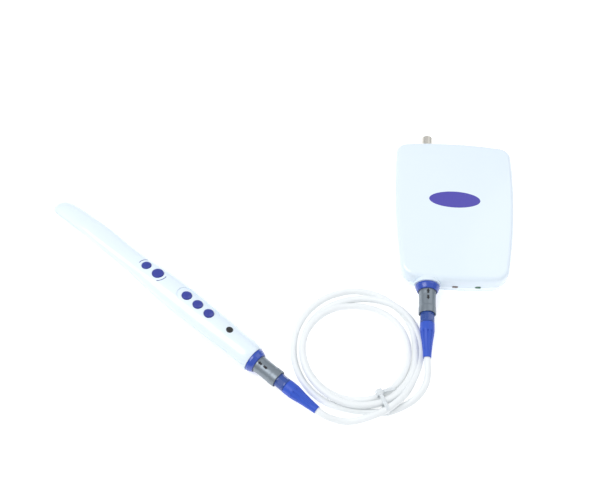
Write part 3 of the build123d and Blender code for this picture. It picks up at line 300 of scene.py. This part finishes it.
class Base:
    """Origin and axes of the handpiece or of the box's port, in the frame of the CAD model.

    The origin is in metres. The base's x runs towards the lead.
    """

    def __init__(self, origin_mm: Sequence[float], azimuth: float, pitch: float, roll: float) -> None:
        """Works out the axes.

        Args:
            origin_mm: Origin, in millimetres.
            azimuth: Turn about the upright axis, in degrees.
            pitch: How far x dips below level, in degrees.
            roll: Turn about x, in degrees.
        """
        a, p, r = (math.radians(v) for v in (azimuth, pitch, roll))
        self.origin = Vector(origin_mm) * MM
        self.x = Vector((math.cos(a) * math.cos(p), math.sin(a) * math.cos(p), -math.sin(p)))
        side = Vector((-math.sin(a), math.cos(a), 0.0))
        self.z = self.x.cross(side) * math.cos(r) + side * math.sin(r)
        self.y = self.z.cross(self.x)

    def at(self, x: float, y: float, z: float) -> Vector:
        """Point given by its distances along the base's axes, in millimetres.

        Args:
            x: Distance along the base's x.
            y: Distance along its y.
            z: Distance along its z.

        Returns:
            The point, in metres.
        """
        return self.origin + (self.x * x + self.y * y + self.z * z) * MM


HAND = Base((-11.9, -97.4, 10.27), -36.0, 2.0, 14.0)
PORT = Base((110.1, -29.8, 10.5), -90.0, 0.0, 0.0)


def mesh_piece(
    name: str, points: Iterable[Vector], faces: Iterable[Sequence[int]], smooth: bool = True,
) -> bpy.types.Object:
    """Makes a mesh object from points in the frame of the CAD model.

    Args:
        name: Name of the piece.
        points: Its vertices.
        faces: Its faces, as vertex numbers.
        smooth: Whether it is shaded smooth.

    Returns:
        The new object.
    """
    mesh = bpy.data.meshes.new(name)
    mesh.from_pydata([tuple(p) for p in points], [], [tuple(f) for f in faces])
    mesh.update()
    mesh.polygons.foreach_set("use_smooth", [smooth] * len(mesh.polygons))
    piece = bpy.data.objects.new(name, mesh)
    bpy.context.scene.collection.objects.link(piece)
    return piece


@dataclass
class Lead:
    """The one lead, from the handpiece's bend relief through the coil to the box's.

    Route points are x, y and height in millimetres. Stations of the coil are an
    angle in degrees, counted on from turn to turn, a radius and a height in millimetres.

    Attributes:
        materials: Source of the finishes.
        diameter: Outer diameter, in metres.
        length: Length along the route, in metres; not used.
        centre: Middle of the coil, in millimetres.
    """

    materials: Materials
    diameter: float = 0.005
    length: float = 0.905
    centre: tuple[float, float] = (61.4, -79.5)

    TURN_POINTS = 16
    HAND_ROUTE = [
        (32.73, -129.83, 8.34), (36.0, -132.2, 8.2), (41.0, -135.0, 6.6), (49.8, -136.3, 3.6),
        (57.0, -136.4, 2.7), (63.6, -135.4, 4.0), (71.6, -133.0, 6.2), (81.7, -128.6, 7.6),
        (88.4, -122.8, 7.6), (95.2, -115.6, 6.6), (100.6, -104.8, 4.2), (105.9, -89.0, 2.8),
        (107.5, -74.1, 2.7),
    ]
    DOCK_ROUTE = [
        (81.5, -128.6, 2.6), (88.0, -125.9, 2.6), (94.0, -122.8, 2.6), (100.8, -118.3, 2.8),
        (106.9, -111.6, 3.8), (110.5, -104.5, 5.8), (111.0, -97.0, 8.6), (110.3, -90.5, 10.2),
        (110.1, -85.0, 10.5),
    ]
    STATIONS = [
        (7, 46.4, 2.7), (30, 44.5, 4.5), (55, 42.0, 7.6), (80, 39.2, 5.0), (105, 38.7, 2.7),
        (180, 39.4, 2.7), (270, 40.9, 2.7), (300, 39.5, 2.7), (360, 36.0, 2.7), (450, 32.8, 2.7),
        (500, 36.0, 5.5), (540, 39.4, 7.6), (590, 43.0, 7.6), (630, 46.4, 7.4), (655, 46.0, 6.0),
        (720, 40.7, 2.7), (765, 43.4, 2.6), (810, 46.5, 2.7), (900, 46.0, 2.7), (990, 49.0, 2.6),
    ]

    @classmethod
    def _station(cls, a: float) -> tuple[float, float]:
        """Radius and height of the coil at an angle.

        Args:
            a: Angle, in degrees.

        Returns:
            Radius and height, in millimetres, in proportion between two stations.
        """
        for (a0, r0, z0), (a1, r1, z1) in zip(cls.STATIONS, cls.STATIONS[1:]):
            if a <= a1:
                t = (a - a0) / (a1 - a0)
                return r0 + (r1 - r0) * t, z0 + (z1 - z0) * t
        return cls.STATIONS[-1][1:]

    def route(self) -> list[Vector]:
        """Works out the control points of the whole lead.

        Returns:
            The points, in metres, from the handpiece to the box.
        """
        points = [Vector(p) for p in self.HAND_ROUTE]
        step = 360.0 / self.TURN_POINTS
        # A curve runs inside its control points, so those of the coil lie this much further out
        spread = 1.0 / math.cos(math.radians(step / 2))
        a = self.STATIONS[0][0] + step
        while a <= self.STATIONS[-1][0]:
            r, z = self._station(a)
            turn = math.radians(a)
            x = self.centre[0] + spread * r * math.cos(turn)
            y = self.centre[1] + spread * r * math.sin(turn)
            points.append(Vector((x, y, z)))
            a += step
        points += [Vector(p) for p in self.DOCK_ROUTE]
        return [p * MM for p in points]

    def build(self, tie: bpy.types.Object) -> bpy.types.Object:
        """Args:
            tie: The cable tie round the coil; not used.

        Returns:
            The lead.
        """
        points = self.route()
        curve = bpy.data.curves.new("lead", "CURVE")
        curve.dimensions = "3D"
        curve.resolution_u = 8
        curve.bevel_depth = self.diameter / 2
        curve.bevel_resolution = 5
        curve.use_fill_caps = True
        spline = curve.splines.new("NURBS")
        spline.points.add(len(points) - 1)
        for slot, point in zip(spline.points, points):
            slot.co = (*point, 1.0)
        spline.order_u = 3
        spline.use_endpoint_u = True
        lead = bpy.data.objects.new("lead", curve)
        bpy.context.scene.collection.objects.link(lead)
        curve.materials.append(self.materials.get(CABLE))
        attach(lead, "cable")
        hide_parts("cable_lead_handpiece", "cable_coil", "cable_lead_dock")
        return lead


@dataclass
class Tie:
    """Nylon tie round the coil: a flat strap, its head and the cut tail.

    It stands in an upright plane through the coil's middle. All sizes are in millimetres.

    Attributes:
        materials: Source of the finishes.
        angle: Direction from the coil's middle, in degrees.
        centre: Middle of the coil.
        inner: Distance of the loop's inner side from the coil's middle.
        outer: Distance of its outer side.
        low: Height of its underside.
        top: Height of its top, before the two upper corners are let down.
        outer_drop: How far the outer upper corner is let down.
        inner_drop: How far the inner upper corner is let down.
        inner_lean: How far the inner upper corner leans outwards.
        corner: Radius of the loop's corners.
        width: Width of the strap.
        thick: Thickness of the strap.
        bevel: Radius of its edges.
    """

    materials: Materials
    angle: float = -64.8
    centre: tuple[float, float] = (61.4, -80.8)
    inner: float = 36.3
    outer: float = 53.4
    low: float = 0.1
    top: float = 10.9
    outer_drop: float = 0.4
    inner_drop: float = 1.6
    inner_lean: float = 2.4
    corner: float = 2.6
    width: float = 2.5
    thick: float = 1.0
    bevel: float = 0.22

    CORNER_STEPS = 6
    HEAD_INSIDE, HEAD_OUTSIDE, HEAD_HALF_WIDTH = 1.0, 3.8, 2.4
    HEAD_HEIGHTS = (4.6, 8.6)
    TAIL_START, TAIL_WIDTH, TAIL_SLANT, TAIL_LENGTH = 1.2, 2.2, 1.2, 9.0
    TAIL_HEIGHTS = (6.6, 7.5)
    BOX_FACES = [(0, 3, 2, 1), (4, 5, 6, 7), (0, 1, 5, 4), (1, 2, 6, 5), (2, 3, 7, 6), (3, 0, 4, 7)]

    def __post_init__(self) -> None:
        """Works out the axes of the tie's plane."""
        a = math.radians(self.angle)
        self._ahead = Vector((math.cos(a), math.sin(a), 0.0))
        self._side = Vector((-math.sin(a), math.cos(a), 0.0))
        self._start = Vector((*self.centre, 0.0))

    def _place(self, r: float, t: float, z: float) -> Vector:
        """Point in metres.

        Args:
            r: Distance from the coil's middle along the tie's direction.
            t: Distance to the side.
            z: Height.

        Returns:
            The point.
        """
        return (self._start + self._ahead * r + self._side * t + Vector((0, 0, z))) * MM

    def _strap(self) -> tuple[list[Vector], list[tuple[int, ...]]]:
        """Makes the closed loop of flat strap.

        Returns:
            Its points and faces.
        """
        outside, inside = self.outer - self.corner, self.inner + self.corner
        corners = [
            (outside, self.low + self.corner, -90),
            (outside, self.top - self.corner - self.outer_drop, 0),
            (inside + self.inner_lean, self.top - self.corner - self.inner_drop, 90),
            (inside, self.low + self.corner, 180),
        ]
        points: list[Vector] = []
        faces: list[tuple[int, ...]] = []
        within = self.corner - self.thick
        section = ((self.corner, 0.5), (self.corner, -0.5), (within, -0.5), (within, 0.5))
        for r, z, first in corners:
            for k in range(self.CORNER_STEPS + 1):
                t = math.radians(first + 90 * k / self.CORNER_STEPS)
                for rise, half in section:
                    out, up = math.cos(t) * rise, math.sin(t) * rise
                    points.append(self._place(r + out, half * self.width, z + up))
        sides = len(section)
        for here in range(0, len(points), sides):
            after = (here + sides) % len(points)
            for j in range(sides):
                i = (j + 1) % sides
                faces.append((here + j, here + i, after + i, after + j))
        return points, faces

    def _boxes(self) -> list[list[Vector]]:
        """Places the head and the tail.

        Returns:
            For each, its four lower and four upper corners.
        """
        near, far, half = self.inner - self.HEAD_INSIDE, self.inner + self.HEAD_OUTSIDE, self.HEAD_HALF_WIDTH
        head = ((near, -half), (far, -half), (far, half), (near, half))
        root, end = near + self.TAIL_START, half + self.TAIL_LENGTH
        tip = root + self.TAIL_SLANT
        tail = ((root, half), (root + self.TAIL_WIDTH, half), (tip + self.TAIL_WIDTH, end), (tip, end))
        return [
            [self._place(r, t, z) for z in heights for r, t in outline]
            for outline, heights in ((head, self.HEAD_HEIGHTS), (tail, self.TAIL_HEIGHTS))
        ]

    def build(self) -> bpy.types.Object:
        """Makes the tie as one mesh.

        Returns:
            The tie.
        """
        points, faces = self._strap()
        for box in self._boxes():
            first = len(points)
            points.extend(box)
            faces.extend(tuple(first + number for number in face) for face in self.BOX_FACES)
        tie = mesh_piece("tie_strap", points, faces, smooth=False)
        bevel = tie.modifiers.new("edges", "BEVEL")
        bevel.width = self.bevel * MM
        bevel.segments = 2
        tie.data.materials.append(self.materials.get(TIE))
        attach(tie, "cable")
        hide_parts("cable_tie")
        return tie


@dataclass
class Marks:
    """Printed marks: arrows on the two sleeves and plain arcs beside two buttons.

    Each is a thin sheet laid on the CAD surface under it. All sizes are in millimetres.

    Attributes:
        materials: Source of the finishes.
        frame: What the frame's load gave.
        lift: How far the ink stands off the surface.
    """

    materials: Materials
    frame: dict
    lift: float = 0.03

    # Distance from an arrow's tip and half its width there
    ARROW_ROWS = [(0.0, 0.02), (0.8, 0.6), (1.7, 1.3), (1.701, 0.75), (2.6, 0.75), (3.6, 0.75)]
    ARROW_COLUMNS = 5
    ARROW_ABOVE = 9.0
    # Distance of the tip from the ring's rear face, and the way the tail runs
    ARROWS = ((5.4, 1), (14.2, -1))
    # Angle of the arrows round the plug's axis, in degrees
    SLEEVES = (("handpiece", HAND, -24.0), ("dock", PORT, 0.0))
    # Name, distance of the button from the rear face, radius, and middle direction in degrees
    ARCS = (("front_arc", 105.4, 5.6, 160.0), ("rear_arc", 94.0, 6.4, -20.0))
    ARC_SPAN, ARC_STEPS, ARC_WIDTH, ARC_ABOVE = 70, 18, 0.55, 30.0

    def _tree(self, node: str) -> BVHTree:
        """Makes a search tree over a CAD node's surface.

        Args:
            node: Name of the node.

        Returns:
            The tree.
        """
        mesh = self.frame["nodes"][node].data
        corners = [v.co.copy() for v in mesh.vertices]
        return BVHTree.FromPolygons(corners, [tuple(p.vertices) for p in mesh.polygons])

    def _drop(self, tree: BVHTree, above: Vector, down: Vector) -> Vector:
        """Drops a point on a surface.

        Args:
            tree: The surface.
            above: Point above it, in metres.
            down: Direction of the drop.

        Returns:
            The point just over the surface.

        Raises:
            ValueError: If there is no surface under the point.
        """
        hit, normal, _, _ = tree.ray_cast(above, down)
        if hit is None:
            raise ValueError(f"no surface under {above}")
        outward = 1 if normal.dot(down) < 0 else -1
        return hit + normal * self.lift * MM * outward

    def _arrow(
        self, name: str, tree: BVHTree, base: Base, start: float, way: int, lean: float,
    ) -> bpy.types.Object:
        """Lays one arrow on a sleeve.

        Args:
            name: Name of the piece.
            tree: Surface of the sleeve.
            base: Axes of the connector.
            start: Distance of the tip along the axis, in millimetres.
            way: 1 if the arrow's tail lies towards the lead, or -1.
            lean: Angle of the arrow round the axis from the base's z, in degrees.

        Returns:
            The arrow.
        """
        turn = math.radians(lean)
        up = base.z * math.cos(turn) + base.y * math.sin(turn)
        across = base.y * math.cos(turn) - base.z * math.sin(turn)
        columns, middle = self.ARROW_COLUMNS, self.ARROW_COLUMNS // 2
        points: list[Vector] = []
        for x, half in self.ARROW_ROWS:
            for k in range(columns):
                t = half * (k - middle) / middle
                above = base.origin + (base.x * (start + way * x) + across * t + up * self.ARROW_ABOVE) * MM
                points.append(self._drop(tree, above, -up))
        faces: list[tuple[int, ...]] = []
        for row in range(len(self.ARROW_ROWS) - 1):
            for k in range(columns - 1):
                n = columns * row + k
                faces.append((n, n + 1, n + columns + 1, n + columns))
        return mesh_piece(name, points, faces)

    def _arc(
        self, name: str, tree: BVHTree, station: float, radius: float, middle: float,
    ) -> bpy.types.Object:
        """Lays one arc on the handpiece.

        Args:
            name: Name of the piece.
            tree: Surface of the handpiece.
            station: Distance of the arc's centre from the rear face, in millimetres.
            radius: Inner radius, in millimetres.
            middle: Direction of the arc's middle from its centre, in degrees.

        Returns:
            The arc.
        """
        points: list[Vector] = []
        faces: list[tuple[int, ...]] = []
        for k in range(self.ARC_STEPS + 1):
            a = math.radians(middle + self.ARC_SPAN * (k / self.ARC_STEPS - 0.5))
            for r in (radius, radius + self.ARC_WIDTH):
                above = HAND.at(-station + r * math.cos(a), r * math.sin(a), self.ARC_ABOVE)
                points.append(self._drop(tree, above, -HAND.z))
            if k:
                faces.append((2 * k - 2, 2 * k - 1, 2 * k + 1, 2 * k))
        return mesh_piece(name, points, faces)

    def build(self) -> None:
        """Makes all marks and sets each on its body."""
        for end, base, lean in self.SLEEVES:
            tree = self._tree(f"{end}_release_sleeve")
            for number, (start, way) in enumerate(self.ARROWS):
                arrow = self._arrow(f"{end}_sleeve_arrow_{number}", tree, base, start, way, lean)
                arrow.data.materials.append(self.materials.get(INK))
                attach(arrow, f"{end}_sleeve")
        tree = self._tree("handpiece_top_shell")
        for name, station, radius, middle in self.ARCS:
            arc = self._arc(name, tree, station, radius, middle)
            arc.data.materials.append(self.materials.get(INK_BLUE))
            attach(arc, "handpiece")


@dataclass(frozen=True)
class Lamp:
    """One large round lamp, aimed at the middle of the table.

    Attributes:
        name: Its name.
        place: Where it is, in metres.
        size: Its diameter, in metres.
        power: Its power, in watts.
    """

    name: str
    place: tuple[float, float, float]
    size: float
    power: float

    def build(self) -> None:
        """Makes the lamp."""
        data = bpy.data.lights.new(self.name, "AREA")
        data.shape = "DISK"
        data.size = self.size
        data.energy = self.power
        lamp = bpy.data.objects.new(self.name, data)
        lamp.location = self.place
        lamp.rotation_mode = "QUATERNION"
        lamp.rotation_quaternion = (-Vector(self.place)).to_track_quat("-Z", "Y")
        bpy.context.scene.collection.objects.link(lamp)


class Studio:
    """Floor, light, sky and camera of the picture."""

    EYE = Vector((0.04226, -0.40075, 0.65299))
    AIM = Vector((0.0138, 0.0063, 0.0))
    LENS, SENSOR = 60.36, 36.0
    NEAREST, FURTHEST = 0.01, 20.0
    PICTURE = (600, 489)
    SAMPLES = 128
    LAMPS = (Lamp("key", (-0.55, -0.15, 0.95), 0.8, 6.0), Lamp("fill", (0.7, 0.35, 0.8), 1.0, 2.0))
    FLOOR_HALF, FLOOR_GREY, FLOOR_ROUGHNESS, FLOOR_GLOW = 4.0, 0.93, 0.9, 0.45
    SKY_LOW, SKY_HIGH = (0.52, 0.56, 0.60, 1.0), (0.95, 0.97, 1.0, 1.0)
    SKY_HIGH_FROM, SKY_STRENGTH = 0.75, 0.74

    def build(self) -> None:
        """Sets up everything round the object."""
        self._floor()
        self._sky()
        for lamp in self.LAMPS:
            lamp.build()
        self._camera()
        self._render()

    def _floor(self) -> None:
        """Makes the plain pale floor, which glows a little so that it stays white in the shade."""
        corners = [Vector((x, y, 0.0)) * self.FLOOR_HALF for x, y in ((-1, -1), (1, -1), (1, 1), (-1, 1))]
        floor = mesh_piece("floor", corners, [(0, 1, 2, 3)], smooth=False)
        material = bpy.data.materials.new("floor_pale")
        material.use_nodes = True
        shader = next(n for n in material.node_tree.nodes if n.type == "BSDF_PRINCIPLED")
        shader.inputs["Base Color"].default_value = (self.FLOOR_GREY, self.FLOOR_GREY, self.FLOOR_GREY, 1.0)
        shader.inputs["Roughness"].default_value = self.FLOOR_ROUGHNESS
        shader.inputs["Specular IOR Level"].default_value = 0.0
        shader.inputs["Emission Color"].default_value = (1.0, 1.0, 1.0, 1.0)
        shader.inputs["Emission Strength"].default_value = self.FLOOR_GLOW
        floor.data.materials.append(material)

    def _sky(self) -> None:
        """Makes a soft white sky, darker towards the horizon."""
        world = bpy.data.worlds.new("sky")
        bpy.context.scene.world = world
        world.use_nodes = True
        nodes, links = world.node_tree.nodes, world.node_tree.links
        back = next(n for n in nodes if n.type == "BACKGROUND")
        place = nodes.new("ShaderNodeTexCoord")
        split = nodes.new("ShaderNodeSeparateXYZ")
        ramp = nodes.new("ShaderNodeValToRGB")
        ramp.color_ramp.elements[0].color = self.SKY_LOW
        ramp.color_ramp.elements[1].color = self.SKY_HIGH
        ramp.color_ramp.elements[1].position = self.SKY_HIGH_FROM
        links.new(place.outputs["Generated"], split.inputs["Vector"])
        links.new(split.outputs["Z"], ramp.inputs["Fac"])
        links.new(ramp.outputs["Color"], back.inputs["Color"])
        back.inputs["Strength"].default_value = self.SKY_STRENGTH

    def _camera(self) -> None:
        """Sets the camera where the photograph was taken from."""
        data = bpy.data.cameras.new("camera")
        data.sensor_fit = "HORIZONTAL"
        data.sensor_width = self.SENSOR
        data.lens = self.LENS
        data.clip_start, data.clip_end = self.NEAREST, self.FURTHEST
        camera = bpy.data.objects.new("camera", data)
        camera.location = self.EYE
        camera.rotation_mode = "QUATERNION"
        camera.rotation_quaternion = (self.AIM - self.EYE).to_track_quat("-Z", "Y")
        bpy.context.scene.collection.objects.link(camera)
        bpy.context.scene.camera = camera

    def _render(self) -> None:
        """Sets the size and quality of the picture."""
        scene = bpy.context.scene
        scene.render.engine = "CYCLES"
        scene.render.resolution_x, scene.render.resolution_y = self.PICTURE
        scene.render.resolution_percentage = 100
        scene.cycles.samples = self.SAMPLES
        scene.cycles.use_denoising = True
        scene.view_settings.view_transform = "Standard"


def finish_nodes(frame: dict, materials: Materials) -> None:
    """Gives every CAD node its procedural finish.

    Args:
        frame: What the frame's load gave.
        materials: Source of the finishes.
    """
    finish_of = {name: finish for finish, names in NODES_OF_FINISH for name in names}
    finish_of |= {f"{end}_{piece}": finish for end in ENDS for piece, finish in FINISH_OF_PLUG.items()}
    for name, node in frame["nodes"].items():
        node.data.materials.clear()
        node.data.materials.append(materials.get(finish_of[name]))


def clear_scene() -> None:
    """Removes what a new file starts with."""
    for item in list(bpy.data.objects):
        bpy.data.objects.remove(item)


def main() -> None:
    """Builds the whole picture."""
    logging.basicConfig(level=logging.INFO)
    clear_scene()
    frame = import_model()
    materials = Materials()
    finish_nodes(frame, materials)
    tie = Tie(materials).build()
    Lead(materials).build(tie)
    Marks(materials, frame).build()
    Studio().build()


if __name__ == "__main__":
    main()
